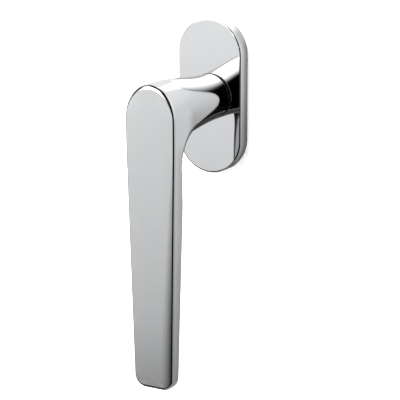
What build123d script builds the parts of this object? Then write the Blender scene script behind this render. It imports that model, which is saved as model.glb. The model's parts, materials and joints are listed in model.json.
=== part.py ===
from build123d import *
import os
from math import sqrt

# Tilt and turn window handle, closed, with its grip hanging down.
# The origin is on the spindle's axis at the rosette's back plane. +Y goes into the sash, +Z is up.
# A depth is measured outwards from the back plane, along -Y. All sizes are in millimetres.

os.makedirs("parts", exist_ok=True)

# Rosette cover
ROSETTE_HEIGHT = 70.0
ROSETTE_HALF_WIDTH = 15.9
ROSETTE_DEPTH = 7.0
COVER_BACK = 1.1            # depth of the cover's rim, just in front of the flange
COVER_EDGE_RADIUS = 0.8     # rounding between the face and the side
COVER_WALL = 1.2
COVER_FACE_WALL = 1.0
COVER_HOLE_RADIUS = 10.0

# Base plate
FLANGE_DEPTH = 1.0
FLANGE_INSET = 0.25         # the flange stays this far inside the cover's outline
BOSS_RADIUS = 13.7
BOSS_DEPTH = 5.3
CHAMBER_DEPTH = 4.0
CHAMBER_RADIUS = 8.3
LUG_RADIUS = 5.0
LUG_LENGTH = 9.0
BACK_PLATE_DEPTH = 0.7
BACK_PLATE_RADIUS = 12.8
PLATE_SCREW_CIRCLE = 11.0
PLATE_SCREW_RADIUS = 1.0
PLATE_SCREW_HEAD_RADIUS = 1.75
PLATE_SCREW_LENGTH = 3.4
SLOT_LENGTH = 2.4
SLOT_WIDTH = 0.4
SLOT_DEPTH = 0.35

# Fixing screws: M5, countersunk, at the standard spacing
SCREW_SPACING = 43.0
SCREW_RADIUS = 2.5          # of the thread
SCREW_SHANK_RADIUS = 2.24   # plain part under the head, as thick as the thread's pitch diameter
SCREW_SHANK_END = -9.3      # depth where the thread starts, just beyond the lug
SCREW_HEAD_RADIUS = 4.5
SCREW_HEAD_DEPTH = 2.3
SCREW_LENGTH = 33.0
CROSS_WIDTH = 1.1
CROSS_LENGTH = 4.8
CROSS_DEPTH = 1.8
CROSS_TAPER = 12            # degrees

# Shank, bush and the rings on it
SHANK_RADIUS = 7.0          # where it turns in the bush
SHANK_END_RADIUS = 6.0      # where it carries the hub
SHANK_END_DEPTH = 0.1
KEY_FLAT = 5.6              # distance of each key flat from the axis
BUSH_RADIUS = 8.0
BUSH_FLANGE_RADIUS = 9.4
BUSH_BACK = 4.15            # clear of the balls when they sit in the hub's notches
BUSH_FRONT = 5.7
NECK_RING_RADIUS = 9.6
NECK_RING_BACK = 6.1
NECK_RING_CHAMFER = 0.3
NECK_LIP_RADIUS = 10.3      # the ring's lip, between the neck and the cover
NECK_LIP_BACK = 7.5
CONE_WASHER_WALL = 0.2
CONE_WASHER_RADIUS = 9.2
GROOVE_DEPTH = 1.05         # middle of the retaining ring's groove
GROOVE_RADIUS = 5.5
RING_WALL = 0.5
RING_RADIUS = 7.4
RING_OPENING = 30.0         # degrees
WASHER_BACK = 1.32
WASHER_WALL = 0.3
WASHER_RADIUS = 7.6

# Detents
HUB_BACK = 1.65
HUB_FRONT = 3.95
HUB_RADIUS = 7.9
BALL_RADIUS = 1.5
BALL_CENTRE_DEPTH = 2.8
BALL_TRAVEL = 0.6
BALL_GAP = 0.04             # the ball at rest stands this far clear of the hub
POCKET_END = 13.0
POCKET_WIDTH = 3.1
NOTCH_RADIUS = 1.6
SPRING_RADIUS = 1.1         # of the coil's centre line
SPRING_WIRE = 0.14          # radius
SPRING_TURNS = 4

# Snap ring between boss and carrier
SNAP_DEPTH = 4.75
SNAP_WIRE = 0.4             # radius
SNAP_OPENING = 40.0         # degrees

# Spindle and its grub screw
SPINDLE_SIDE = 7.0
SPINDLE_REACH = 35.0        # beyond the back plane
SPINDLE_IN_NECK = 32.0
SPINDLE_CHAMFER = 0.8
SET_SCREW_DEPTH = 16.0
SET_SCREW_RADIUS = 3.0
SET_SCREW_TOP = -3.55       # it bears on the spindle's lower face here
SET_SCREW_BOTTOM = -9.8
SET_SCREW_CHAMFER = 0.5
HEX_RADIUS = 1.73           # socket for a 3 mm key
HEX_DEPTH = 3.0

# Neck
NECK_END = 8.2              # depth of the neck's end face
NECK_RADIUS = 10.5          # at that face
NECK_SECTIONS = 12
NECK_INSET = 0.25           # the neck stays this far inside the grip's outline where they meet
ROUND_HANDLE = 0.5523       # Bezier handle length, as a share of the radius, of a round corner
SQUARE_HANDLE = 0.88        # the same for the nearly square corners next to the grip

# Grip
GRIP_FRONT = 58.5           # depth of the front face at the spindle's height
GRIP_LEAN = 0.01            # the front face comes this much nearer per millimetre downwards
GRIP_TOP_HALF_WIDTH = 12.45
GRIP_ARCH_BASE = -1.5       # height where the arch springs from the straight sides
GRIP_ARCH_HEIGHT = 15.5
GRIP_BOTTOM = -122.6
GRIP_BOTTOM_HALF_WIDTH = 9.8
GRIP_CORNER_RADIUS = 5.8
GRIP_TOP_WALL = 9.6
GRIP_BOTTOM_WALL = 6.4
GRIP_FRONT_EDGE = 1.1
GRIP_BACK_EDGE = 1.5
ARMPIT_RADIUS = 13.0        # of the hollow curve between neck and grip

# Clearances
RUNNING = 0.05
SEAT = 0.02


def at(depth):
    """The plane across the spindle's axis at this depth, facing outwards."""
    return Plane.XZ.offset(depth)


def disc(radius, back, front):
    """A round solid about the spindle's axis, between two depths."""
    return extrude(at(back) * Circle(radius), front - back)


def ring(outer, inner, back, front):
    return disc(outer, back, front) - disc(inner, back, front)


def obround(half_width, height, back, front):
    outline = SlotOverall(height, 2 * half_width, rotation=90)
    return extrude(at(back) * outline, front - back)


def open_ring(section, opening):
    """Revolve a section drawn in the XY plane about the spindle's axis, leaving an opening below."""
    turned = revolve(section, Axis.Y, 360 - opening)
    return turned.rotate(Axis.Y, opening / 2 + 90)


def cone(tip_depth, tip_radius, base_depth, base_radius):
    section = Polyline((0, -tip_depth), (tip_radius, -tip_depth), (base_radius, -base_depth),
                       (0, -base_depth), close=True)
    return revolve(make_face(section), Axis.Y)


# ---------------------------------------------------------------- rosette

def make_rosette_cover():
    shell = obround(ROSETTE_HALF_WIDTH, ROSETTE_HEIGHT, COVER_BACK, ROSETTE_DEPTH)
    shell = fillet(shell.faces().sort_by(Axis.Y)[0].edges(), COVER_EDGE_RADIUS)
    shell -= obround(ROSETTE_HALF_WIDTH - COVER_WALL, ROSETTE_HEIGHT - 2 * COVER_WALL,
                     COVER_BACK, ROSETTE_DEPTH - COVER_FACE_WALL)
    return shell - disc(COVER_HOLE_RADIUS, 0, ROSETTE_DEPTH)


def make_cover_carrier():
    outer = COVER_WALL + SEAT
    carrier = obround(ROSETTE_HALF_WIDTH - outer, ROSETTE_HEIGHT - 2 * outer,
                      COVER_BACK, ROSETTE_DEPTH - COVER_FACE_WALL - SEAT)
    carrier -= disc(BOSS_RADIUS + RUNNING, 0, ROSETTE_DEPTH)
    return carrier - snap_groove()


def snap_groove():
    wire = Pos(BOSS_RADIUS, -SNAP_DEPTH) * Circle(SNAP_WIRE + SEAT)
    return revolve(wire, Axis.Y)


def make_snap_ring():
    wire = Pos(BOSS_RADIUS, -SNAP_DEPTH) * Circle(SNAP_WIRE)
    return open_ring(wire, SNAP_OPENING)


def screw_places():
    return [Pos(0, 0, side * SCREW_SPACING / 2) for side in (1, -1)]


def plate_screw_places():
    """Four places on a circle, between the detent pockets."""
    return [Rot(0, 45 + 90 * quarter, 0) * Pos(PLATE_SCREW_CIRCLE, 0, 0) for quarter in range(4)]


def make_base_plate():
    plate = obround(ROSETTE_HALF_WIDTH - FLANGE_INSET, ROSETTE_HEIGHT - 2 * FLANGE_INSET,
                    0, FLANGE_DEPTH)
    plate += disc(BOSS_RADIUS, 0, BOSS_DEPTH)
    for place in screw_places():
        plate += place * disc(LUG_RADIUS, -LUG_LENGTH, FLANGE_DEPTH)
    for place in screw_places():
        plate -= place * disc(SCREW_RADIUS + RUNNING, -LUG_LENGTH, FLANGE_DEPTH)
        plate -= place * screw_head(SEAT)
    plate -= disc(BACK_PLATE_RADIUS + RUNNING, 0, BACK_PLATE_DEPTH + SEAT)
    plate -= disc(CHAMBER_RADIUS, 0, CHAMBER_DEPTH)
    plate -= disc(BUSH_RADIUS + SEAT, 0, BOSS_DEPTH)
    pocket = Rectangle(2 * POCKET_END, POCKET_WIDTH)
    plate -= extrude(at(BACK_PLATE_DEPTH) * pocket,
                     BALL_CENTRE_DEPTH + POCKET_WIDTH / 2 - BACK_PLATE_DEPTH)
    for place in plate_screw_places():
        plate -= place * disc(PLATE_SCREW_RADIUS + SEAT, 0, PLATE_SCREW_LENGTH + SEAT)
    return plate - snap_groove()


def make_back_plate():
    plate = disc(BACK_PLATE_RADIUS, 0, BACK_PLATE_DEPTH)
    plate -= disc(SHANK_END_RADIUS + RUNNING, 0, BACK_PLATE_DEPTH)
    for place in plate_screw_places():
        plate -= place * disc(PLATE_SCREW_RADIUS + SEAT, 0, BACK_PLATE_DEPTH)
        plate -= place * plate_screw_head(SEAT)
    return plate


def plate_screw_head(gap):
    head_depth = PLATE_SCREW_HEAD_RADIUS - PLATE_SCREW_RADIUS
    return cone(0, PLATE_SCREW_HEAD_RADIUS + gap, head_depth, PLATE_SCREW_RADIUS + gap)


def make_plate_screws():
    screw = disc(PLATE_SCREW_RADIUS, 0, PLATE_SCREW_LENGTH) + plate_screw_head(0)
    screw -= extrude(at(0) * Rectangle(SLOT_LENGTH, SLOT_WIDTH), SLOT_DEPTH)
    return Compound(children=[place * screw for place in plate_screw_places()])


# ---------------------------------------------------------------- fixing screws

def screw_head(gap):
    """The countersunk head, which the gap enlarges all round to make its seat."""
    back = FLANGE_DEPTH - SCREW_HEAD_DEPTH
    return cone(FLANGE_DEPTH, SCREW_HEAD_RADIUS + gap, back, SCREW_SHANK_RADIUS + gap)


def make_fixing_screws():
    screw = screw_head(0) + disc(SCREW_SHANK_RADIUS, SCREW_SHANK_END, FLANGE_DEPTH)
    screw += disc(SCREW_RADIUS, FLANGE_DEPTH - SCREW_LENGTH, SCREW_SHANK_END)
    for angle in (0, 90):
        slot = at(FLANGE_DEPTH) * Rectangle(CROSS_LENGTH, CROSS_WIDTH, rotation=angle)
        screw -= extrude(slot, -CROSS_DEPTH, taper=CROSS_TAPER)
    return Compound(children=[place * screw for place in screw_places()])


# ---------------------------------------------------------------- bearing, hub and rings

def make_bearing_bush():
    bush = disc(BUSH_RADIUS, BUSH_BACK, BOSS_DEPTH + SEAT)
    bush += disc(BUSH_FLANGE_RADIUS, BOSS_DEPTH + SEAT, BUSH_FRONT)
    return bush - disc(SHANK_RADIUS + RUNNING, 0, BUSH_FRONT)


def make_neck_ring():
    """A glide ring in the cover's hole, with a lip under the neck's end."""
    bore, front = SHANK_RADIUS + SEAT, NECK_END - SEAT
    glide = ring(NECK_RING_RADIUS, bore, NECK_RING_BACK, front)
    glide += ring(NECK_LIP_RADIUS, bore, NECK_LIP_BACK, front)
    rim = glide.edges().group_by(Axis.Y)[-1].sort_by(SortBy.LENGTH)[-1]
    return chamfer(rim, NECK_RING_CHAMFER)


def make_cone_washer():
    """A thin cone between the bush's flange and the neck ring."""
    inner, outer = SHANK_RADIUS + 2 * RUNNING, CONE_WASHER_RADIUS
    back, front = -BUSH_FRONT - SEAT, -NECK_RING_BACK + SEAT
    section = Polyline((inner, back), (inner, back - CONE_WASHER_WALL), (outer, front),
                       (outer, front + CONE_WASHER_WALL), close=True)
    return revolve(make_face(section), Axis.Y)


def key_flats(radius, flat, back, front):
    """A round bar with two flats, the shape that keys the hub to the shank."""
    bar = at(back) * (Circle(radius) & Rectangle(2 * flat, 2 * radius))
    return extrude(bar, front - back)


def make_detent_hub():
    hub = disc(HUB_RADIUS, HUB_BACK, HUB_FRONT)
    hub -= key_flats(SHANK_END_RADIUS + SEAT, KEY_FLAT + SEAT, HUB_BACK, HUB_FRONT)
    notch_centre = ball_centre() - BALL_TRAVEL
    for quarter in range(4):
        place = Rot(0, 90 * quarter, 0) * Pos(notch_centre, 0, 0)
        hub -= place * disc(NOTCH_RADIUS, HUB_BACK, HUB_FRONT)
    return hub


def make_thrust_washer():
    return ring(WASHER_RADIUS, SHANK_END_RADIUS + RUNNING, WASHER_BACK, WASHER_BACK + WASHER_WALL)


def make_retaining_ring():
    width = RING_RADIUS - GROOVE_RADIUS - SEAT
    middle = GROOVE_RADIUS + SEAT + width / 2
    return open_ring(Pos(middle, -GROOVE_DEPTH) * Rectangle(width, RING_WALL), RING_OPENING)


# ---------------------------------------------------------------- detents

def ball_centre():
    """Distance of a ball's centre from the spindle's axis, at rest."""
    return HUB_RADIUS + BALL_RADIUS + BALL_GAP


def make_detent_ball(side):
    return Pos(side * ball_centre(), -BALL_CENTRE_DEPTH, 0) * Sphere(BALL_RADIUS)


def make_detent_spring(side):
    """A short coil between the ball and the pocket's end. Its first turn sits on the ball's cap."""
    cap = sqrt(BALL_RADIUS ** 2 - SPRING_RADIUS ** 2)
    start = ball_centre() + cap + 3 * SPRING_WIRE
    length = POCKET_END - SPRING_WIRE - SEAT - start
    coil = Helix(length / SPRING_TURNS, length, SPRING_RADIUS)
    wire = Plane(coil @ 0, z_dir=coil % 0) * Circle(SPRING_WIRE)
    spring = sweep(wire, coil, is_frenet=True)
    return Pos(side * start, -BALL_CENTRE_DEPTH, 0) * Rot(0, side * 90, 0) * spring


# ---------------------------------------------------------------- spindle

def make_spindle():
    bar = extrude(at(-SPINDLE_REACH) * Rectangle(SPINDLE_SIDE, SPINDLE_SIDE),
                  SPINDLE_REACH + SPINDLE_IN_NECK)
    return chamfer(bar.edges().group_by(Axis.Y)[-1], SPINDLE_CHAMFER)


def set_screw_bar(radius, bottom, top):
    lower = Plane(origin=(0, -SET_SCREW_DEPTH, bottom))
    return extrude(lower * Circle(radius), top - bottom)


def make_set_screw():
    screw = set_screw_bar(SET_SCREW_RADIUS, SET_SCREW_BOTTOM, SET_SCREW_TOP)
    screw = chamfer(screw.edges().sort_by(Axis.Z)[-1], SET_SCREW_CHAMFER)
    socket = Plane(origin=(0, -SET_SCREW_DEPTH, SET_SCREW_BOTTOM)) * RegularPolygon(HEX_RADIUS, 6)
    return screw - extrude(socket, HEX_DEPTH)


# ---------------------------------------------------------------- lever

def grip_half_width(height):
    """Half the grip's width below the arch, which narrows evenly downwards."""
    share = (GRIP_ARCH_BASE - height) / (GRIP_ARCH_BASE - GRIP_BOTTOM)
    return GRIP_TOP_HALF_WIDTH + share * (GRIP_BOTTOM_HALF_WIDTH - GRIP_TOP_HALF_WIDTH)


def grip_outline():
    """Seen from the front: an arch on two sides that narrow to a bottom with round corners."""
    base, width = GRIP_ARCH_BASE, GRIP_TOP_HALF_WIDTH
    arch = EllipticalCenterArc((0, base), width, GRIP_ARCH_HEIGHT, start_angle=0, arc_size=180)
    low = GRIP_BOTTOM_HALF_WIDTH
    sides = Polyline((-width, base), (-low, GRIP_BOTTOM), (low, GRIP_BOTTOM), (width, base))
    outline = make_face([arch, *sides.edges()])
    return fillet(outline.vertices().group_by(Axis.Y)[0], GRIP_CORNER_RADIUS)


def make_grip():
    """The flat grip, cut from its outline by a side view that leans and thins downwards."""
    block = extrude(Plane.XZ * grip_outline(), GRIP_FRONT + GRIP_TOP_WALL)
    top, bottom = GRIP_ARCH_BASE + GRIP_ARCH_HEIGHT + 1, GRIP_BOTTOM - 1

    def front(height):
        return -GRIP_FRONT - GRIP_LEAN * height

    def wall(height):
        share = (GRIP_ARCH_BASE - height) / (GRIP_ARCH_BASE - GRIP_BOTTOM)
        return GRIP_TOP_WALL + share * (GRIP_BOTTOM_WALL - GRIP_TOP_WALL)

    side = Polyline((front(top), top), (front(top) + wall(top), top),
                    (front(bottom) + wall(bottom), bottom), (front(bottom), bottom), close=True)
    side_slab = extrude(Plane.YZ * make_face(side), 2 * GRIP_TOP_HALF_WIDTH, both=True)
    grip = block & side_slab
    grip = fillet(grip.faces().sort_by(Axis.Y)[0].edges(), GRIP_FRONT_EDGE)
    return fillet(grip.faces().filter_by(GeomType.PLANE).sort_by(Axis.Y)[-1].edges(), GRIP_BACK_EDGE)


def neck_section(depth):
    """The outline across the neck: round at the rosette, and nearly as wide as the grip in front.

    Its underside drops along a round hollow curve towards the grip, and grows squarer as it does.
    """
    grip_back = GRIP_FRONT - GRIP_TOP_WALL
    share = min((depth - NECK_END) / (grip_back - NECK_END), 1)
    eased = share * share * (3 - 2 * share)
    base = eased * GRIP_ARCH_BASE
    width = NECK_RADIUS + eased * (GRIP_TOP_HALF_WIDTH - NECK_INSET - NECK_RADIUS)
    top = NECK_RADIUS + eased * (GRIP_ARCH_HEIGHT - NECK_INSET - NECK_RADIUS)
    reach = min(max(depth - (grip_back - ARMPIT_RADIUS), 0), ARMPIT_RADIUS)
    drop = NECK_RADIUS + base + ARMPIT_RADIUS - sqrt(ARMPIT_RADIUS ** 2 - reach ** 2)
    handle = ROUND_HANDLE + eased * (SQUARE_HANDLE - ROUND_HANDLE)
    turn = base - handle * drop
    side = width - eased * (grip_half_width(base) - grip_half_width(turn))
    bottom = base - drop
    right = Bezier((width, base), (side, turn), (handle * width, bottom), (0, bottom))
    left = Bezier((0, bottom), (-handle * width, bottom), (-side, turn), (-width, base))
    arch = [EllipticalCenterArc((0, base), width, top, start_angle=start, arc_size=90)
            for start in (0, 90)]
    return at(depth) * make_face([*arch, left, right])


def make_neck():
    front = GRIP_FRONT - GRIP_TOP_WALL / 2
    step = (front - NECK_END) / (NECK_SECTIONS - 1)
    return loft([neck_section(NECK_END + step * count) for count in range(NECK_SECTIONS)])


def make_lever():
    lever = make_neck() + make_grip()
    lever += disc(SHANK_RADIUS, CHAMBER_DEPTH, NECK_END)
    lever += key_flats(SHANK_END_RADIUS, KEY_FLAT, SHANK_END_DEPTH, CHAMBER_DEPTH)
    groove_back = GROOVE_DEPTH - RING_WALL / 2 - SEAT
    groove_front = GROOVE_DEPTH + RING_WALL / 2 + SEAT
    lever -= ring(SHANK_RADIUS, GROOVE_RADIUS, groove_back, groove_front)
    broach = SPINDLE_SIDE + 2 * SEAT
    lever -= extrude(at(0) * Rectangle(broach, broach), SPINDLE_IN_NECK + SEAT)
    return lever - set_screw_bar(SET_SCREW_RADIUS + SEAT, -2 * NECK_RADIUS, 0)


# ---------------------------------------------------------------- all nodes

def make_nodes():
    nodes = {
        "lever": make_lever(),
        "spindle": make_spindle(),
        "set_screw": make_set_screw(),
        "neck_ring": make_neck_ring(),
        "detent_hub": make_detent_hub(),
        "thrust_washer": make_thrust_washer(),
        "retaining_ring": make_retaining_ring(),
        "cone_washer": make_cone_washer(),
        "bearing_bush": make_bearing_bush(),
        "base_plate": make_base_plate(),
        "back_plate": make_back_plate(),
        "plate_screws": make_plate_screws(),
        "fixing_screws": make_fixing_screws(),
        "snap_ring": make_snap_ring(),
        "rosette_cover": make_rosette_cover(),
        "cover_carrier": make_cover_carrier(),
    }
    for name, side in (("left", -1), ("right", 1)):
        nodes["detent_ball_" + name] = make_detent_ball(side)
        nodes["detent_spring_" + name] = make_detent_spring(side)
    return nodes


for name, solid in make_nodes().items():
    export_step(solid, f"parts/{name}.step")
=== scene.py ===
import json
import math
from itertools import product
from math import cos, pi, radians, sin, sqrt

import bpy
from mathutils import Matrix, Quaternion, Vector


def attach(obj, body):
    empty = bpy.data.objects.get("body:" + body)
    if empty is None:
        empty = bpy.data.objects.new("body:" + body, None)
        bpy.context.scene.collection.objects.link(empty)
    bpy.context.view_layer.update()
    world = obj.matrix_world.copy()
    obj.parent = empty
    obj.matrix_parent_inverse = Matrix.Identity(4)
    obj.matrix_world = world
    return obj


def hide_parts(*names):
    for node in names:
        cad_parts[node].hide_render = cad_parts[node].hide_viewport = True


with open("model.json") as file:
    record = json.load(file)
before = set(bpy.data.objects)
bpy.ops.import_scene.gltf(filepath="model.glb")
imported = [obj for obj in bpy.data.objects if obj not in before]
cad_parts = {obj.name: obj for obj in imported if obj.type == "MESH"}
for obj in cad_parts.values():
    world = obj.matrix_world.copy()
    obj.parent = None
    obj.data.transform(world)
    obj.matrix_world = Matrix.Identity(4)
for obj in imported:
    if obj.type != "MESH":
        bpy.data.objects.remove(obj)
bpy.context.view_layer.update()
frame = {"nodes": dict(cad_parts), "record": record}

# Positions in the shapes below are (x, depth, z) in millimetres, with depth measured outwards
# along -Y.
MM = 0.001

# The lever, as in CAD
NECK_END = 8.2              # the neck's end face, in front of the rosette
NECK_RADIUS = 10.5
GRIP_FRONT = 58.5           # the front face at the spindle's height
GRIP_LEAN = 0.01            # what it gains in depth per millimetre upwards
GRIP_TOP_HALF_WIDTH = 12.45
GRIP_ARCH_BASE = -1.5       # the height where the sides end and the arch starts
GRIP_ARCH_HEIGHT = 15.5
GRIP_BOTTOM = -122.6
GRIP_BOTTOM_HALF_WIDTH = 9.8
GRIP_CORNER_RADIUS = 5.8
GRIP_TOP_WALL = 9.6
GRIP_BOTTOM_WALL = 6.4
GRIP_FRONT_EDGE = 1.1       # how far in from the outline the front edge's rounding starts
GRIP_BACK_EDGE = 1.5
ARMPIT_RADIUS = 13.0        # the hollow curve between the neck's underside and the grip's back
SCREW_HOLE_DEPTH = 16.0
SCREW_HOLE_RADIUS = 3.02
SHANK_RADIUS = 7.0
SHANK_FRONT = 4.0
SHANK_END_RADIUS = 6.0
SHANK_END = 0.1
KEY_FLAT = 5.6              # distance of each key flat from the axis
GROOVE_BACK = 0.78
GROOVE_FRONT = 1.32
GROOVE_RADIUS = 5.5
BROACH = 3.52               # half the side of the spindle's square bore
BROACH_END = 32.02

# What only this lever has: finer roundings, a slight crown and an even taper, within a millimetre
# of the CAD's surface
NECK_EDGE = 0.15            # rounding round the neck's end face
FRONT_EDGE_DEPTH = 2.3      # how far back the front edge's rounding goes
GRIP_TOP_EDGE = 2.5         # how far in it starts at the arch's top
GRIP_BOTTOM_EDGE = 1.8      # the same along the bottom
TOP_EDGE_SPREAD = 1.2       # how soon down the arch the top's value gives way to the sides'
CROWN = 0.15                # the front face falls this much towards its sides
TAPER_START = 20.0          # length over which the grip's sides bend into their taper
EARLY_SHARE = 0.15          # share of the flank's rounding that starts to shrink at once
LATE_POWER = 1.2            # how late the rest follows
ROUND_OUT_GRIP = 22         # how far down the grip's back it reaches its last size
SCREW_HOLE_TOP = -3.54      # just short of the bore, which the CAD's hole opens into


# ---------------------------------------------------------------- surfaces

CELLS = 5000                # points in one cell, 1 / CELLS mm wide, count as one
SLACK = 0.1                 # and so do points this share of a cell away, across its border
SLOPE_STEP = 1e-4           # share of a surface's range between the points that give its slope
NUDGE = 0.01                # where an edge has no slope, it is taken this share further in
NO_LENGTH = 1e-12


class Shell:
    """A mesh made from grids of points. Points in one place are joined, and each corner of a face
    keeps its own normal."""

    def __init__(self):
        self.points, self.faces, self.corners, self.index = [], [], [], {}

    def vertex(self, p):
        """The number of the point in this place, which is added if there is none."""
        near = [sorted({round(c * CELLS - SLACK), round(c * CELLS + SLACK)}) for c in p]
        keys = list(product(*near))
        for key in keys:
            if key in self.index:
                return self.index[key]
        self.index[keys[0]] = len(self.points)
        self.points.append(p)
        return self.index[keys[0]]

    def face(self, points, normals):
        """A face that looks the way its normals do. One with no area is left out."""
        kept, ids = [], []
        for p, n in zip(points, normals):
            i = self.vertex(p)
            if i not in ids:
                ids.append(i)
                kept.append(n)
        if len(ids) < 3:
            return
        start, around = Vector(points[0]), Vector((0, 0, 0))
        for p, following in zip(points, points[1:] + points[:1]):
            around += (Vector(p) - start).cross(Vector(following) - start)
        if around.dot(sum(kept, Vector((0, 0, 0)))) < 0:
            ids.reverse()
            kept.reverse()
        self.faces.append(ids)
        self.corners.append(kept)

    def quads(self, points, normals):
        """A grid of points, a list of rows, with one normal per point, and its mirror image on the
        other side of the middle plane."""
        for r in range(len(points) - 1):
            for c in range(len(points[0]) - 1):
                at = [(r, c), (r, c + 1), (r + 1, c + 1), (r + 1, c)]
                p = [points[i][j] for i, j in at]
                n = [normals[i][j] for i, j in at]
                self.face(p, n)
                self.face([mirrored(q) for q in p], [mirrored(m) for m in n])

    def patch(self, f, us, vs, out):
        """The surface f(u, v) at these values. out says roughly which way is outwards in its
        middle."""
        points = [[f(u, v) for v in vs] for u in us]
        normals = [[slope_normal(f, u, v, us, vs) for v in vs] for u in us]
        middle = normals[len(us) // 2][len(vs) // 2]
        if middle.dot(Vector(out)) < 0:
            normals = [[-n for n in row] for row in normals]
        self.quads(points, normals)

    def build(self, name):
        mesh = bpy.data.meshes.new(name)
        mesh.from_pydata([(p[0] * MM, -p[1] * MM, p[2] * MM) for p in self.points], [],
                         [ids[::-1] for ids in self.faces])
        mesh.polygons.foreach_set("use_smooth", [True] * len(mesh.polygons))
        normals = [(n.x, -n.y, n.z) for corner in self.corners for n in reversed(corner)]
        mesh.normals_split_custom_set(normals)
        mesh.update()
        piece = bpy.data.objects.new(name, mesh)
        bpy.context.scene.collection.objects.link(piece)
        return piece


def mirrored(v):
    return Vector((-v.x, v.y, v.z))


def slope_normal(f, u, v, us, vs):
    """The unit normal of f at (u, v), from points a very small step away inside its range."""
    hu, hv = SLOPE_STEP * (us[-1] - us[0]), SLOPE_STEP * (vs[-1] - vs[0])
    for nudge in (0, NUDGE):
        u0 = u + nudge * ((us[0] + us[-1]) / 2 - u)
        v0 = v + nudge * ((vs[0] + vs[-1]) / 2 - v)
        ua, ub = clip(u0 - hu, us), clip(u0 + hu, us)
        va, vb = clip(v0 - hv, vs), clip(v0 + hv, vs)
        n = (f(ub, v0) - f(ua, v0)).cross(f(u0, vb) - f(u0, va))
        if n.length > NO_LENGTH:
            return n.normalized()
    raise ValueError("a surface has no normal")


def clip(value, values):
    low, high = min(values[0], values[-1]), max(values[0], values[-1])
    return min(max(value, low), high)


def spread(start, end, count):
    """count even steps from start to end, both included."""
    return [start + (end - start) * k / count for k in range(count + 1)]


def smooth(t):
    t = min(max(t, 0.0), 1.0)
    return t * t * (3 - 2 * t)


# ---------------------------------------------------------------- lever

# What the grip's sides lose per millimetre downwards, once they are straight
TAPER = ((GRIP_TOP_HALF_WIDTH - GRIP_BOTTOM_HALF_WIDTH)
         / (GRIP_ARCH_BASE - GRIP_BOTTOM - TAPER_START / 2))
# The back of the grip is a plane: its depth at a height is BACK_FLAT + BACK_SLOPE * height.
BACK_SLOPE = GRIP_LEAN - (GRIP_TOP_WALL - GRIP_BOTTOM_WALL) / (GRIP_ARCH_BASE - GRIP_BOTTOM)
BACK_FLAT = GRIP_FRONT - GRIP_TOP_WALL - (BACK_SLOPE - GRIP_LEAN) * GRIP_ARCH_BASE
BACK_TILT = math.atan(-BACK_SLOPE)
CORNER_Z = GRIP_BOTTOM + GRIP_CORNER_RADIUS
# The armpit's centre and angle
ARMPIT_Z = -NECK_RADIUS - ARMPIT_RADIUS
ARMPIT_DEPTH = BACK_FLAT + BACK_SLOPE * ARMPIT_Z - ARMPIT_RADIUS / cos(BACK_TILT)
TURN = pi / 2 - BACK_TILT
# Lengths along the middle line: the neck's straight underside, as far as the grip's back, where
# the flank's rounding has its last size, and down the grip's back to its bottom corners
STRAIGHT = ARMPIT_DEPTH - NECK_END
TO_GRIP = STRAIGHT + TURN * ARMPIT_RADIUS
ROUND_OUT = TO_GRIP + ROUND_OUT_GRIP
GRIP_LENGTH = (ARMPIT_Z + ARMPIT_RADIUS * cos(TURN) - CORNER_Z) / cos(BACK_TILT)

TINY = 1e-9
NEAR = 1e-6                 # a point this close to the front edge is on it
REACH = 30                  # a first guess at how far the flank goes, and the rounds to settle it
REACH_ROUNDS = 30
DIP_ROUNDS = 12             # the same for the height of the underside
DIP_STEP = 1e-4

# Rows and columns of the lever's patches
FLAT_COLUMNS = 4            # across half of a flat underside or back
EDGE_COLUMNS = 12           # round the flank's rounding
FLANK_COLUMNS = 10
ARCH_COLUMNS = 28           # over half of the arch
CORNER_COLUMNS = 12
BOTTOM_COLUMNS = 6
START_ROWS = 4              # along the neck before the screw hole
HOLE_ROWS = 10
NECK_ROWS = 16
ARMPIT_ROWS = 14            # in each of its two parts
GRIP_ROWS = 46
FRONT_EDGE_ROWS = 8
FRONT_FACE_ROWS = 12
NECK_EDGE_ROWS = 4
HOLE_COLUMNS = FLAT_COLUMNS + 4     # the screw hole's opening takes the place of these columns
HOLE_SPAN = 4.5                     # and reaches this far along the neck from its centre
HOLE_RINGS = 5
SIDEWAYS = (1, 0, -0.2)


def ease(depth):
    """How far the neck has grown from its round end towards the grip's outline, 0 to 1."""
    start = NECK_END + NECK_EDGE
    return smooth((depth - start) / (GRIP_FRONT - GRIP_TOP_WALL - start))


def half_width(depth, z):
    below = max(GRIP_ARCH_BASE - z, 0)
    bend = below * below / (2 * TAPER_START) if below < TAPER_START else below - TAPER_START / 2
    return NECK_RADIUS + ease(depth) * (GRIP_TOP_HALF_WIDTH - NECK_RADIUS - TAPER * bend)


def spring_line(depth):
    """The height where the arch starts."""
    return ease(depth) * GRIP_ARCH_BASE


def front_depth(z):
    """Where the front edge's rounding starts."""
    return GRIP_FRONT - FRONT_EDGE_DEPTH + GRIP_LEAN * z


def back_depth(z):
    return BACK_FLAT + BACK_SLOPE * z


def underside(s):
    """A point on the middle line under the neck and down the grip's back, and the way into the
    metal there."""
    if s <= STRAIGHT:
        return Vector((0, NECK_END + s, -NECK_RADIUS)), Vector((0, 0, 1))
    turn = min((s - STRAIGHT) / ARMPIT_RADIUS, TURN)
    inward = Vector((0, sin(turn), cos(turn)))
    point = Vector((0, ARMPIT_DEPTH, ARMPIT_Z)) + inward * ARMPIT_RADIUS
    down = s - TO_GRIP
    if down > 0:
        point += down * Vector((0, sin(BACK_TILT), -cos(BACK_TILT)))
        tilt = BACK_TILT * (1 - min(down / GRIP_LENGTH, 1))
        inward = Vector((0, cos(tilt), sin(tilt)))
    return point, inward


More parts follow.
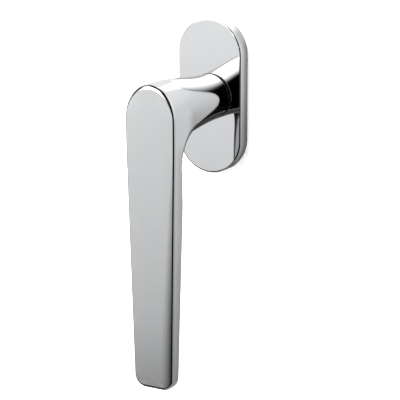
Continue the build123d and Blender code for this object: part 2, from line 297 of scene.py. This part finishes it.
def edge_radius(s):
    """The rounding between underside and flank: round at the neck's end, small on the grip."""
    t = min((s - NECK_EDGE) / (ROUND_OUT - NECK_EDGE), 1)
    share = EARLY_SHARE * (1 - (1 - t) ** 2) + (1 - EARLY_SHARE) * smooth(t) ** LATE_POWER
    return NECK_RADIUS + share * (GRIP_BACK_EDGE - NECK_RADIUS)


def flank_top(s):
    """Where the line from the underside into the metal meets the arch's spring line or the front
    edge."""
    point, inward = underside(s)
    if s <= STRAIGHT:
        return Vector((0, point.y, spring_line(point.y)))
    if inward.z > TINY:
        reach = point + inward * REACH
        for _ in range(REACH_ROUNDS):
            reach = point + inward * ((spring_line(reach.y) - point.z) / inward.z)
        if reach.y <= front_depth(reach.z) + NEAR:
            return reach
    run = (front_depth(0) + GRIP_LEAN * point.z - point.y) / (inward.y - GRIP_LEAN * inward.z)
    return point + inward * run


def lower(s, v):
    """v is 0 to 1 across the flat underside, 1 to 2 round the edge and 2 to 3 up the flank."""
    point, inward = underside(s)
    radius = edge_radius(s)
    if v <= 2:
        angle = max(v - 1, 0) * pi / 2
        at = point + inward * (radius * (1 - cos(angle)))
        width = half_width(at.y, at.z)
        x = min(v, 1) * (width - radius) + radius * sin(angle)
    else:
        base = point + inward * radius
        at = base + (flank_top(s) - base) * (v - 2)
        x = half_width(at.y, at.z)
    return Vector((x, at.y, at.z))


def arch(depth, angle):
    """The upper half of neck and grip. Its rows lean with the front face as they come near it."""
    grown = ease(depth)
    x = half_width(depth, 0) * cos(angle)
    rise = (NECK_RADIUS + grown * (GRIP_ARCH_HEIGHT - NECK_RADIUS)) * sin(angle)
    return Vector((x, depth + GRIP_LEAN * rise * grown, spring_line(depth) + rise))


def outline(k):
    """The grip's outline from the front: k is 0 to 1 down the arch, 1 to 2 down the side, 2 to 3
    round the corner and 3 to 4 along the bottom. Gives x, z and the outward direction in them."""
    if k <= 1:
        angle = (1 - k) * pi / 2
        x, z = GRIP_TOP_HALF_WIDTH * cos(angle), GRIP_ARCH_HEIGHT * sin(angle)
        out = Vector((x / GRIP_TOP_HALF_WIDTH ** 2, z / GRIP_ARCH_HEIGHT ** 2)).normalized()
        return x, z + GRIP_ARCH_BASE, out
    if k <= 2:
        z = GRIP_ARCH_BASE + (k - 1) * (CORNER_Z - GRIP_ARCH_BASE)
        return half_width(GRIP_FRONT, z), z, Vector((1, 0))
    side = half_width(GRIP_FRONT, CORNER_Z) - GRIP_CORNER_RADIUS
    angle = min(k - 2, 1) * pi / 2
    out = Vector((cos(angle), -sin(angle)))
    x = side * (1 - max(k - 3, 0)) + GRIP_CORNER_RADIUS * out.x
    return x, CORNER_Z + GRIP_CORNER_RADIUS * out.y, out


def inset(k, amount):
    x, z, out = outline(k)
    return x - amount * out.x, z - amount * out.y


def edge_inset(k):
    """How far in from the outline the front edge's rounding starts."""
    if k > 2:
        return GRIP_FRONT_EDGE + (GRIP_BOTTOM_EDGE - GRIP_FRONT_EDGE) * smooth(k - 2)
    top = smooth((1 - k) * TOP_EDGE_SPREAD)
    return GRIP_FRONT_EDGE + (GRIP_TOP_EDGE - GRIP_FRONT_EDGE) * top


def crown(k):
    return CROWN * outline(k)[2].x ** 2


def front_edge(k, angle):
    x, z = inset(k, edge_inset(k) * (1 - cos(angle)))
    return Vector((x, front_depth(z) + (FRONT_EDGE_DEPTH - crown(k)) * sin(angle), z))


def front_face(k, q):
    """q is 0 at the middle line and 1 at the edge."""
    x, z = inset(k, edge_inset(k))
    start = max(min(outline(k)[1], GRIP_ARCH_BASE), CORNER_Z)
    z = start + q * (z - start)
    return Vector((q * x, front_depth(z) + FRONT_EDGE_DEPTH - crown(k) * q ** 4, z))


def end_wall(k, share):
    """The grip's lower end, from its back edge's rounding, 0, to its front edge's, 1."""
    x, z, _ = outline(k)
    back = back_depth(z) + GRIP_BACK_EDGE
    return Vector((x, back + share * (front_depth(z) - back), z))


def end_edge(k, angle):
    x, z = inset(k, GRIP_BACK_EDGE * (1 - sin(angle)))
    return Vector((x, back_depth(z) + GRIP_BACK_EDGE * (1 - cos(angle)), z))


def end_back(k, q):
    x, z = inset(k, GRIP_BACK_EDGE)
    z = CORNER_Z + q * (z - CORNER_Z)
    return Vector((q * x, back_depth(z), z))


def neck_edge(s, v):
    """The small rounding at the neck's end: s runs round it, 0 at the bottom to 1 at the top."""
    around = Vector((sin(s * pi), 0, -cos(s * pi)))
    radius = NECK_RADIUS - NECK_EDGE * (1 - sin(v))
    return around * radius + Vector((0, NECK_END + NECK_EDGE * (1 - cos(v)), 0))


def quarter(count):
    """The angles of a quarter turn."""
    return spread(0, pi / 2, count)


def lower_columns():
    columns = spread(0, 1, FLAT_COLUMNS) + spread(1, 2, EDGE_COLUMNS)[1:]
    return columns + spread(2, 3, FLANK_COLUMNS)[1:]


def make_lever():
    shell = Shell()
    # Up to this angle round the armpit the flank ends at the arch, and past it at the front edge.
    corner = math.atan2(front_depth(GRIP_ARCH_BASE) - ARMPIT_DEPTH, GRIP_ARCH_BASE - ARMPIT_Z)
    to_corner = STRAIGHT + corner * ARMPIT_RADIUS
    hole_start = SCREW_HOLE_DEPTH - HOLE_SPAN - NECK_END
    hole_end = SCREW_HOLE_DEPTH + HOLE_SPAN - NECK_END
    start_rows = spread(NECK_EDGE, hole_start, START_ROWS)
    hole_rows = spread(hole_start, hole_end, HOLE_ROWS)
    neck_rows = spread(hole_end, STRAIGHT, NECK_ROWS)
    round_rows = spread(STRAIGHT, to_corner, ARMPIT_ROWS)
    armpit_rows = spread(to_corner, TO_GRIP, ARMPIT_ROWS)
    grip_rows = spread(TO_GRIP, TO_GRIP + GRIP_LENGTH, GRIP_ROWS)
    columns = lower_columns()
    for rows in (start_rows, neck_rows, round_rows, armpit_rows, grip_rows):
        shell.patch(lower, rows, columns, SIDEWAYS)
    shell.patch(lower, hole_rows, columns[HOLE_COLUMNS:], SIDEWAYS)
    add_screw_hole(shell, hole_rows, columns[:HOLE_COLUMNS + 1])
    under_arch = start_rows + hole_rows[1:] + neck_rows[1:] + round_rows[1:]
    shell.patch(arch, [flank_top(s).y for s in under_arch], quarter(ARCH_COLUMNS), (0.5, 0, 1))
    add_grip_front(shell, armpit_rows + grip_rows[1:])
    add_shank(shell)
    return shell.build("lever_polished")


def add_grip_front(shell, rows):
    """The front face with its rounded edge, and the grip's lower end."""
    heights = [flank_top(s).z for s in rows]
    sides = [1 + (GRIP_ARCH_BASE - z) / (GRIP_ARCH_BASE - CORNER_Z) for z in heights]
    sides[-1] = 2.0         # exactly, so that the corner's points join on
    end = spread(2, 3, CORNER_COLUMNS) + spread(3, 4, BOTTOM_COLUMNS)[1:]
    around = spread(0, 1, ARCH_COLUMNS)[:-1] + sides + end[1:]
    shell.patch(front_edge, around, quarter(FRONT_EDGE_ROWS), (1, 1, 0))
    shell.patch(front_face, around, spread(0, 1, FRONT_FACE_ROWS), (0, 1, 0))
    shell.patch(end_wall, end, spread(0, 1, FLANK_COLUMNS), (1, 0, -1))
    shell.patch(end_edge, end, quarter(EDGE_COLUMNS), (0.5, -1, -0.5))
    shell.patch(end_back, end, spread(0, 1, FLAT_COLUMNS), (0, -1, 0))


def add_screw_hole(shell, rows, columns):
    """The underside round the set screw's hole, and the hole's wall and end."""
    border = [(rows[0], v) for v in columns] + [(s, columns[-1]) for s in rows[1:]]
    border += [(rows[-1], v) for v in reversed(columns[:-1])]
    points, normals, rim = [], [], []
    for s, v in border:
        outer = lower(s, v)
        flat = Vector((outer.x, outer.y - SCREW_HOLE_DEPTH))
        way = flat.normalized()
        line = []
        for share in spread(0, 1, HOLE_RINGS)[:-1]:
            x, off = way * (SCREW_HOLE_RADIUS + share * (flat.length - SCREW_HOLE_RADIUS))
            depth = off + SCREW_HOLE_DEPTH
            line.append(Vector((x, depth, underside_height(x, depth))))
        points.append(line + [outer])
        normals.append([underside_normal(p) for p in points[-1]])
        rim.append((line[0], Vector((-way.x, -way.y, 0))))
    shell.quads(points, normals)
    wall = [[p, Vector((p.x, p.y, SCREW_HOLE_TOP))] for p, _ in rim]
    shell.quads(wall, [[n, n] for _, n in rim])
    down = Vector((0, 0, -1))
    end = Vector((0, SCREW_HOLE_DEPTH, SCREW_HOLE_TOP))
    shell.quads([[w[1], end] for w in wall], [[down, down]] * len(wall))


def underside_height(x, depth):
    radius = edge_radius(depth - NECK_END)
    z = -NECK_RADIUS
    for _ in range(DIP_ROUNDS):
        over = min(max(x - half_width(depth, z) + radius, 0), radius)
        z = -NECK_RADIUS + radius - sqrt(radius ** 2 - over ** 2)
    return z


def underside_normal(p):
    x, depth, h = abs(p.x), p.y, DIP_STEP
    across = (underside_height(x + h, depth) - underside_height(x - h, depth)) / (2 * h)
    along = (underside_height(x, depth + h) - underside_height(x, depth - h)) / (2 * h)
    return Vector((across, along, -1)).normalized()


def add_shank(shell):
    """The neck's end face, the shank behind it with its groove and key flats, and the square
    bore. Each section is a radius by the turn from straight down."""
    def circle(radius):
        return lambda t: radius

    def keyed(t):
        return min(SHANK_END_RADIUS, KEY_FLAT / max(abs(sin(t)), TINY))

    def square(t):
        return BROACH / max(abs(cos(t)), abs(sin(t)))

    low = [lower(NECK_EDGE, v) for v in lower_columns() if 1 <= v <= 2]
    high = [arch(NECK_END + NECK_EDGE, a) for a in quarter(ARCH_COLUMNS)]
    turns = [math.atan2(p.x, -p.z) for p in low + high[1:]]
    profile = [(circle(NECK_RADIUS - NECK_EDGE), NECK_END), (circle(SHANK_RADIUS), NECK_END),
               (circle(SHANK_RADIUS), SHANK_FRONT), (keyed, SHANK_FRONT), (keyed, GROOVE_FRONT),
               (circle(GROOVE_RADIUS), GROOVE_FRONT), (circle(GROOVE_RADIUS), GROOVE_BACK),
               (keyed, GROOVE_BACK), (keyed, SHANK_END), (square, SHANK_END),
               (square, BROACH_END)]
    shell.patch(neck_edge, [t / pi for t in turns], quarter(NECK_EDGE_ROWS), (1, -0.5, 0))
    ways = [Vector((sin(t), 0, -cos(t))) for t in turns]
    for (r0, d0), (r1, d1) in zip(profile, profile[1:]):
        rows, normals = [], []
        for t, way in zip(turns, ways):
            rows.append([way * r0(t) + Vector((0, d0, 0)), way * r1(t) + Vector((0, d1, 0))])
            if d0 == d1:
                n = Vector((0, 1 if d0 == GROOVE_BACK else -1, 0))
            elif r0 is square:
                n = -Vector((round(way.x * r0(t) / BROACH), 0, round(way.z * r0(t) / BROACH)))
            else:
                n = way
            normals.append([n, n])
        shell.quads(rows, normals)
    centre, back = Vector((0, BROACH_END, 0)), Vector((0, -1, 0))
    bottom = [[way * square(t) + centre, centre] for t, way in zip(turns, ways)]
    shell.quads(bottom, [[back, back]] * len(bottom))


# ---------------------------------------------------------------- camera

AIM = Vector((-9.0, 0.0, -50.6)) * MM
AZIMUTH = radians(30.0)
ELEVATION = radians(14.8)
DISTANCE = 826 * MM
ROLL = -0.0025              # radians
LENS = 162
SENSOR = 36
NEAREST, FARTHEST = 0.05, 20


def make_camera():
    data = bpy.data.cameras.new("camera")
    camera = bpy.data.objects.new("camera", data)
    bpy.context.scene.collection.objects.link(camera)
    level = cos(ELEVATION)
    back = Vector((sin(AZIMUTH) * level, -cos(AZIMUTH) * level, sin(ELEVATION)))
    camera.location = AIM + back * DISTANCE
    camera.rotation_mode = "QUATERNION"
    camera.rotation_quaternion = Quaternion(back, ROLL) @ (-back).to_track_quat("-Z", "Y")
    data.lens, data.sensor_width = LENS, SENSOR
    data.clip_start, data.clip_end = NEAREST, FARTHEST
    bpy.context.scene.camera = camera


# ---------------------------------------------------------------- materials

LOW, HIGH = 0.35, 0.65      # most of a noise's values lie between these
RINGS_PER_SIZE = 0.314      # scale of a ring texture whose rings are one size apart


class Look:
    """A material whose colour, roughness and relief vary over a part, in the part's own
    coordinates."""

    def __init__(self, name, metallic):
        self.material = bpy.data.materials.new(name)
        self.material.use_nodes = True
        tree = self.material.node_tree
        self.nodes, self.links = tree.nodes, tree.links
        self.shader = self.nodes["Principled BSDF"]
        self.shader.inputs["Metallic"].default_value = metallic
        self.place = self.nodes.new("ShaderNodeTexCoord").outputs["Object"]
        self.normal = None

    def noise(self, size, stretch=(1, 1, 1), detail=3.0, offset=0.0):
        """Noise with marks of about this size in millimetres, longer by the stretch along each
        axis."""
        scaled = self.nodes.new("ShaderNodeMapping")
        scaled.inputs["Location"].default_value = (offset, offset, offset)
        scaled.inputs["Scale"].default_value = [1 / (size * MM * k) for k in stretch]
        self.links.new(self.place, scaled.inputs["Vector"])
        texture = self.nodes.new("ShaderNodeTexNoise")
        texture.inputs["Scale"].default_value = 1
        texture.inputs["Detail"].default_value = detail
        self.links.new(scaled.outputs[0], texture.inputs["Vector"])
        return texture.outputs["Fac"]

    def cells(self, size):
        """Crystal cells of about this size in millimetres, each of its own grey."""
        texture = self.nodes.new("ShaderNodeTexVoronoi")
        texture.inputs["Scale"].default_value = 1 / (size * MM)
        self.links.new(self.place, texture.inputs["Vector"])
        return texture.outputs["Color"]

    def turned(self, size):
        """Fine rings round the spindle's axis, as turning or grinding leaves them."""
        texture = self.nodes.new("ShaderNodeTexWave")
        texture.wave_type = "RINGS"
        texture.rings_direction = "Y"
        texture.inputs["Scale"].default_value = RINGS_PER_SIZE / (size * MM)
        texture.inputs["Distortion"].default_value = 1.5
        texture.inputs["Detail"].default_value = 3
        self.links.new(self.place, texture.inputs["Vector"])
        return texture.outputs["Fac"]

    def fit(self, value, low, high, start, end):
        """low to high as the value goes from start to end."""
        node = self.nodes.new("ShaderNodeMapRange")
        for name, number in (("From Min", start), ("From Max", end),
                             ("To Min", low), ("To Max", high)):
            node.inputs[name].default_value = number
        self.links.new(value, node.inputs["Value"])
        return node.outputs[0]

    def tint(self, value, first, second, start=LOW, end=HIGH):
        """The base colour, from first to second with the value. A later tint has no first colour
        and lies over the ones before it."""
        share = self.fit(value, 0, 1, start, end)
        mix = self.nodes.new("ShaderNodeMix")
        mix.data_type = "RGBA"
        self.links.new(share, mix.inputs[0])
        before = self.shader.inputs["Base Color"].links
        if before:
            self.links.new(before[0].from_socket, mix.inputs[6])
        else:
            mix.inputs[6].default_value = (*first, 1)
        mix.inputs[7].default_value = (*second, 1)
        self.links.new(mix.outputs[2], self.shader.inputs["Base Color"])

    def rough(self, value, low, high, start=LOW, end=HIGH):
        self.links.new(self.fit(value, low, high, start, end), self.shader.inputs["Roughness"])

    def relief(self, value, height):
        """Adds marks this many millimetres high."""
        bump = self.nodes.new("ShaderNodeBump")
        bump.inputs["Distance"].default_value = height * MM
        self.links.new(value, bump.inputs["Height"])
        if self.normal:
            self.links.new(self.normal, bump.inputs["Normal"])
        self.normal = bump.outputs[0]
        self.links.new(self.normal, self.shader.inputs["Normal"])


def polished_chrome():
    """Mirror chrome: faint hazes from handling, hairline buffing marks and a breath of uneven
    plating."""
    look = Look("polished_chrome_plate", 1)
    look.tint(look.noise(9, detail=2), (0.592, 0.602, 0.612), (0.606, 0.612, 0.618))
    look.rough(look.noise(14, (1, 1, 1.6), 5), 0.022, 0.045, start=0.4, end=0.7)
    look.relief(look.noise(0.25, (1, 1, 30), 2), 0.00006)
    look.relief(look.noise(2.5, detail=1), 0.0004)
    return look.material


def black_acetal():
    """Black acetal with a fine moulded grain, a little uneven in its shine."""
    look = Look("black_acetal", 0)
    look.tint(look.noise(1.8), (0.010, 0.010, 0.011), (0.022, 0.022, 0.023))
    look.rough(look.noise(0.4), 0.30, 0.50)
    look.relief(look.noise(0.09, detail=2), 0.004)
    return look.material


def white_acetal():
    """White acetal, slightly see-through, with greyer patches from handling."""
    look = Look("white_acetal", 0)
    look.shader.inputs["Subsurface Weight"].default_value = 0.12
    look.shader.inputs["Subsurface Scale"].default_value = 0.6 * MM
    look.tint(look.noise(3.2), (0.74, 0.74, 0.70), (0.82, 0.82, 0.80))
    look.tint(look.noise(0.9, offset=7), None, (0.60, 0.59, 0.55), start=0.62, end=0.78)
    look.rough(look.noise(0.5), 0.28, 0.45)
    look.relief(look.noise(0.12, detail=2), 0.004)
    return look.material


def grey_nylon():
    """Glass-filled nylon: a fine spark-eroded grain with pale fibre flecks and flow marks."""
    look = Look("grey_nylon", 0)
    look.tint(look.noise(5, (1, 1, 3)), (0.085, 0.088, 0.092), (0.125, 0.129, 0.135))
    look.tint(look.noise(0.22, (1, 1, 4), 2), None, (0.24, 0.245, 0.25), start=0.62, end=0.74)
    look.rough(look.noise(0.6), 0.42, 0.64)
    look.relief(look.noise(0.16, detail=4), 0.016)
    look.relief(look.noise(2.2, (1, 1, 2)), 0.012)
    return look.material


def die_cast_zinc():
    """Tumbled zinc: a pitted skin with chill marks, darker in patches."""
    look = Look("die_cast_zinc", 1)
    look.tint(look.noise(3.5, detail=5), (0.27, 0.28, 0.30), (0.40, 0.41, 0.43))
    look.tint(look.noise(0.7, offset=3), None, (0.16, 0.165, 0.18), start=0.60, end=0.80)
    look.rough(look.noise(1.1, detail=4), 0.34, 0.58)
    look.relief(look.noise(0.35, detail=4), 0.02)
    look.relief(look.noise(3.0, detail=2), 0.03)
    return look.material


def zinc_plate():
    """Bright zinc plate, with its bluish passivation in soft clouds and a fine crystalline
    sparkle."""
    look = Look("zinc_plated_steel", 1)
    look.tint(look.noise(4.0, detail=4), (0.50, 0.53, 0.58), (0.60, 0.60, 0.58))
    look.tint(look.noise(1.3, offset=11), None, (0.40, 0.44, 0.53), start=0.58, end=0.76)
    look.rough(look.cells(0.28), 0.17, 0.31, start=0, end=1)
    look.relief(look.noise(0.3, detail=3), 0.005)
    look.relief(look.noise(0.22, (1, 20, 1), 2), 0.003)
    return look.material


def ground_steel():
    """Hardened steel with grinding rings round the spindle's axis."""
    look = Look("ground_steel", 1)
    look.shader.inputs["Anisotropic"].default_value = 0.4
    look.tint(look.noise(2.5), (0.50, 0.50, 0.51), (0.58, 0.575, 0.57))
    look.rough(look.turned(0.12), 0.16, 0.28, start=0, end=1)
    look.relief(look.turned(0.06), 0.0016)
    look.relief(look.noise(0.35, detail=3), 0.0012)
    return look.material


def black_oxide():
    """Black oxide on steel, dry and oily in patches, rubbed to bare metal in a few places."""
    look = Look("black_oxide_steel", 1)
    look.tint(look.noise(1.6, detail=4), (0.030, 0.030, 0.033), (0.060, 0.060, 0.066))
    look.tint(look.noise(0.45, offset=5, detail=4), None, (0.26, 0.255, 0.25),
              start=0.68, end=0.78)
    look.rough(look.noise(0.8), 0.30, 0.52)
    look.relief(look.noise(0.12, detail=3), 0.004)
    return look.material


def spring_steel():
    """Drawn spring steel with die lines and a straw-brown temper in places."""
    look = Look("spring_steel", 1)
    look.tint(look.noise(2.0, detail=3), (0.36, 0.36, 0.37), (0.46, 0.455, 0.45))
    look.tint(look.noise(3.5, offset=9), None, (0.34, 0.29, 0.22), start=0.56, end=0.80)
    look.rough(look.noise(0.25, (6, 1, 6), 3), 0.20, 0.36)
    look.relief(look.noise(0.08, (8, 1, 8), 2), 0.002)
    return look.material


FINISHES = {
    "polished_chrome": polished_chrome,
    "black_plastic": black_acetal,
    "white_plastic": white_acetal,
    "grey_plastic": grey_nylon,
    "die_cast_zinc": die_cast_zinc,
    "zinc_steel": zinc_plate,
    "bright_steel": ground_steel,
    "black_steel": black_oxide,
    "spring_steel": spring_steel,
}


def dress_nodes():
    """Gives every CAD node the finish of its slot in the record, and returns the finishes."""
    finishes = {slot: make() for slot, make in FINISHES.items()}
    for part in frame["record"]["subparts"]:
        materials = frame["nodes"][part["node"]].data.materials
        for i in range(len(materials)):
            materials[i] = finishes[part["material_slot"]]
    return finishes


finishes = dress_nodes()
lever = make_lever()
lever.data.materials.append(finishes["polished_chrome"])
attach(lever, "handle")
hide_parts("lever")


# ---------------------------------------------------------------- studio

FLOOR_SIZE = 6
FLOOR_HEIGHT = -0.30
BOARD_SIZE = 3
WALL_DEPTH = 0.0002         # the two boards stand just in front of the rosette's back plane
REFLECTOR_DEPTH = 0.0003
WALL_GLOW = 0.38            # the part of its white that no shadow takes away
ROSETTE_HALF_WIDTH = 15.9
ROSETTE_END = 19.1          # height of the centre of the rosette's round end
SIDE_SLANT = 0.025          # the grey beside the grip moves inwards this much per mm downwards
SOFTBOX = 4.0               # its brightness
WORLD_LIMIT = 9             # more than the brightest part of the world
KEY_POWER = 22
KEY_SIZE = 0.9
KEY_PLACE = (-0.5, -1.1, 0.9)
KEY_AIM = Vector((0, 0, -0.04))


class Graph:
    """A node tree that works out a brightness."""

    def __init__(self, tree):
        self.nodes, self.links = tree.nodes, tree.links

    def math(self, kind, first, second=0):
        node = self.nodes.new("ShaderNodeMath")
        node.operation = kind
        for socket, value in zip(node.inputs, (first, second)):
            if isinstance(value, (int, float)):
                socket.default_value = value
            else:
                self.links.new(value, socket)
        return node.outputs[0]

    def product(self, first, *others):
        for other in others:
            first = self.math("MULTIPLY", first, other)
        return first

    def most(self, first, *others):
        for other in others:
            first = self.math("MAXIMUM", first, other)
        return first

    def dimmed(self, value, dark):
        """The value where dark is 0, and nothing where it is 1."""
        return self.product(value, self.math("SUBTRACT", 1, dark))

    def split(self, vector):
        node = self.nodes.new("ShaderNodeSeparateXYZ")
        self.links.new(vector, node.inputs[0])
        return node.outputs

    def ramp(self, value, span, stops, kind="LINEAR"):
        """The grey at a value between -span and span, from stops of (value, grey). A shorter span
        gives a finer ramp."""
        fit = self.nodes.new("ShaderNodeMapRange")
        fit.inputs["From Min"].default_value = -span
        fit.inputs["From Max"].default_value = span
        self.links.new(value, fit.inputs["Value"])
        node = self.nodes.new("ShaderNodeValToRGB")
        node.color_ramp.interpolation = kind
        elements = node.color_ramp.elements
        while len(elements) < len(stops):
            elements.new(0.5)
        for element, (place, grey) in zip(elements, stops):
            element.position = (place / span + 1) / 2
            element.color = (grey, grey, grey, 1)
        self.links.new(fit.outputs[0], node.inputs[0])
        return node.outputs[0]


def make_floor():
    bpy.ops.mesh.primitive_plane_add(size=FLOOR_SIZE, location=(0, 0, FLOOR_HEIGHT))
    floor = bpy.context.object
    floor.name = "floor"
    material = bpy.data.materials.new("floor")
    material.use_nodes = True
    shader = material.node_tree.nodes["Principled BSDF"]
    shader.inputs["Base Color"].default_value = (0.9, 0.9, 0.9, 1)
    shader.inputs["Roughness"].default_value = 0.9
    floor.data.materials.append(material)
    floor.visible_glossy = False


def make_board(name, depth, make_front):
    """A large upright board. Its front has the shader that make_front returns, and its back can be
    seen through."""
    material = bpy.data.materials.new(name)
    material.use_nodes = True
    graph = Graph(material.node_tree)
    nodes, links = graph.nodes, graph.links
    mix = nodes.new("ShaderNodeMixShader")
    links.new(nodes.new("ShaderNodeNewGeometry").outputs["Backfacing"], mix.inputs[0])
    links.new(make_front(graph), mix.inputs[1])
    links.new(nodes.new("ShaderNodeBsdfTransparent").outputs[0], mix.inputs[2])
    links.new(mix.outputs[0], nodes["Material Output"].inputs[0])
    bpy.ops.mesh.primitive_plane_add(size=BOARD_SIZE, location=(0, -depth, 0),
                                     rotation=(pi / 2, 0, 0))
    board = bpy.context.object
    board.name = name
    board.data.materials.append(material)
    board.visible_diffuse = False
    board.visible_shadow = False
    return board


def wall_front(graph):
    """Plain white, and bright enough to stay white to the camera."""
    shader = graph.nodes["Principled BSDF"]
    shader.inputs["Base Color"].default_value = (0.95, 0.95, 0.95, 1)
    shader.inputs["Roughness"].default_value = 1
    shader.inputs["Specular IOR Level"].default_value = 0
    shader.inputs["Emission Color"].default_value = (1, 1, 1, 1)
    shader.inputs["Emission Strength"].default_value = WALL_GLOW
    return shader.outputs[0]


def painted_shade_front(graph):
    """What the photograph's chrome reflects of the background, by place in millimetres, with
    painted shade: greyer towards the floor, a painted contact shadow close to the rosette, a
    painted shadow behind the grip, darker beside it and far left."""
    graph.nodes.remove(graph.nodes["Principled BSDF"])
    place = graph.split(graph.nodes.new("ShaderNodeNewGeometry").outputs["Position"])
    x, z = (graph.product(place[axis], 1 / MM) for axis in ("X", "Z"))

    # distance from the rosette's edge
    over = graph.most(graph.math("SUBTRACT", graph.math("ABSOLUTE", z), ROSETTE_END), 0)
    squares = graph.math("ADD", graph.product(x, x), graph.product(over, over))
    away = graph.math("SUBTRACT", graph.math("SQRT", squares), ROSETTE_HALF_WIDTH)

    # painted shade: the background darkens towards the floor and brightens above the rosette
    height = graph.ramp(z, 200, [(-150, 0.42), (-124, 0.54), (-96, 0.65), (-66, 0.78),
                                 (-24, 0.90), (10, 0.98), (28, 1.15), (44, 1.25)], "EASE")
    # painted contact shadow along the rosette's edge, gone 4.2 mm out and above the rosette's top
    near = graph.most(graph.ramp(away, 20, [(0, 0.28), (4.2, 1)], "EASE"),
                      graph.ramp(z, 50, [(15, 0), (30, 0.75)], "EASE"))
    # painted shadow beside and below the rosette's lower part, gone 24 mm from its edge
    low = graph.most(graph.ramp(z, 50, [(-25, 0.58), (15, 1)], "EASE"),
                     graph.ramp(away, 40, [(4, 0), (24, 1)], "EASE"))

    # painted shadow of the grip on the background behind it
    behind = graph.product(
        graph.ramp(x, 100, [(-36, 0), (-20, 1), (16, 1), (30, 0)], "EASE"),
        graph.ramp(z, 150, [(-85.5, 0), (-69, 0.8), (-39, 0.85), (-30, 0)], "EASE"))
    left = graph.ramp(x, 200, [(-90, 0.92), (-66, 0)])
    slanted = graph.math("SUBTRACT", x, graph.product(z, SIDE_SLANT))
    beside = graph.product(
        graph.ramp(slanted, 100, [(36, 0), (40, 0.32), (42.5, 0.26), (47, 0)]),
        graph.ramp(z, 150, [(-33, 1), (-24, 0)], "EASE"))

    # a lamp above the rosette
    lamp = graph.product(graph.ramp(x, 100, [(-11, 0), (-8, 1), (10, 1), (16, 0)]),
                         graph.ramp(z, 100, [(30, 0), (34, 1)]))
    board = graph.dimmed(graph.product(height, near, low), graph.most(behind, left, beside))
    glow = graph.nodes.new("ShaderNodeEmission")
    graph.links.new(graph.math("ADD", board, lamp), glow.inputs["Strength"])
    return glow.outputs[0]


def make_boards():
    """The background twice: as the camera sees it, and as the polished parts reflect it, a copy
    with painted shade and shadows.
    """
    wall = make_board("wall", WALL_DEPTH, wall_front)
    wall.visible_glossy = False
    painted_shade_reflector = make_board("painted_shade_reflector", REFLECTOR_DEPTH, painted_shade_front)
    painted_shade_reflector.visible_camera = False


def make_world():
    """The studio by direction, in degrees of height and of azimuth from the front, to the right."""
    world = bpy.data.worlds.new("tent")
    bpy.context.scene.world = world
    world.use_nodes = True
    graph = Graph(world.node_tree)
    way = graph.split(graph.nodes.new("ShaderNodeTexCoord").outputs["Generated"])
    azimuth = graph.math("ARCTAN2", way["X"], graph.product(way["Y"], -1))
    azimuth = graph.product(azimuth, 180 / pi)

    def by_height(stops, kind="LINEAR"):
        sines = [(sin(radians(height)), grey) for height, grey in stops]
        return graph.ramp(way["Z"], 1, sines, kind)

    def by_azimuth(stops, kind="LINEAR"):
        return graph.ramp(azimuth, 180, stops, kind)

    height = by_height([(-75, 0.3), (-50, 0.03), (-34, 0.03), (-25, 0.20), (-21.5, 0.49),
                        (-19.7, 0.73), (-17.9, 0.86), (-15.9, 0.96), (-13.5, 1.06), (-9, 1.28),
                        (8, 1.0), (20, 1.25), (28, 1.7)])
    # the dark room round the camera
    room = graph.product(by_azimuth([(-36, 0), (-15, 0.13), (0, 0.38), (12, 0.8), (20, 1), (75, 1),
                                     (88, 0)]),
                         by_height([(-60, 0), (-40, 1)], "EASE"))
    # its lower part, which spreads to the left towards the floor
    shift = by_height([(-20, 0), (-16, 3), (-13, 8), (-5, 34)])
    low_room = graph.product(graph.ramp(graph.math("SUBTRACT", azimuth, shift), 180,
                                        [(-31, 0), (-24, 0.85), (20, 1), (21, 0)]),
                             by_height([(-60, 0), (-45, 1), (-8, 1), (-2, 0)]))
    # the black ceiling above the softbox
    ceiling = by_height([(53, 0), (57, 1)])
    # the dark gap between the front light and the board, on the left
    gap = graph.product(by_azimuth([(-138, 0), (-128, 0.92), (-72, 0.92), (-60, 0)]),
                        by_height([(-60, 0), (-50, 1), (30, 1), (40, 0)]))
    # the softbox above on the left
    softbox = graph.product(by_azimuth([(-60, 0), (-50, 1), (12, 1), (19, 0)], "EASE"),
                            by_height([(12, 0), (17, 1), (50, 1), (60, 0)], "EASE"), SOFTBOX)
    light = graph.dimmed(graph.math("ADD", height, softbox),
                         graph.most(room, low_room, ceiling, gap))

    # the camera sees plain white past the floor's edge
    seen = graph.nodes.new("ShaderNodeLightPath").outputs["Is Camera Ray"]
    limit = graph.math("SUBTRACT", WORLD_LIMIT, graph.product(seen, WORLD_LIMIT - 1))
    background = graph.nodes["Background"]
    background.inputs["Color"].default_value = (1, 1, 1, 1)
    graph.links.new(graph.math("MINIMUM", graph.most(light, seen), limit),
                    background.inputs["Strength"])


def make_key_light():
    """Lights the matt parts and the floor. The polished parts don't reflect it."""
    data = bpy.data.lights.new("key", "AREA")
    key = bpy.data.objects.new("key", data)
    data.size = KEY_SIZE
    data.energy = KEY_POWER
    key.location = KEY_PLACE
    key.rotation_euler = (KEY_AIM - key.location).to_track_quat("-Z", "Y").to_euler()
    key.visible_glossy = False
    bpy.context.scene.collection.objects.link(key)


make_camera()
make_floor()
make_boards()
make_world()
make_key_light()
bpy.context.scene.view_settings.view_transform = "Standard"
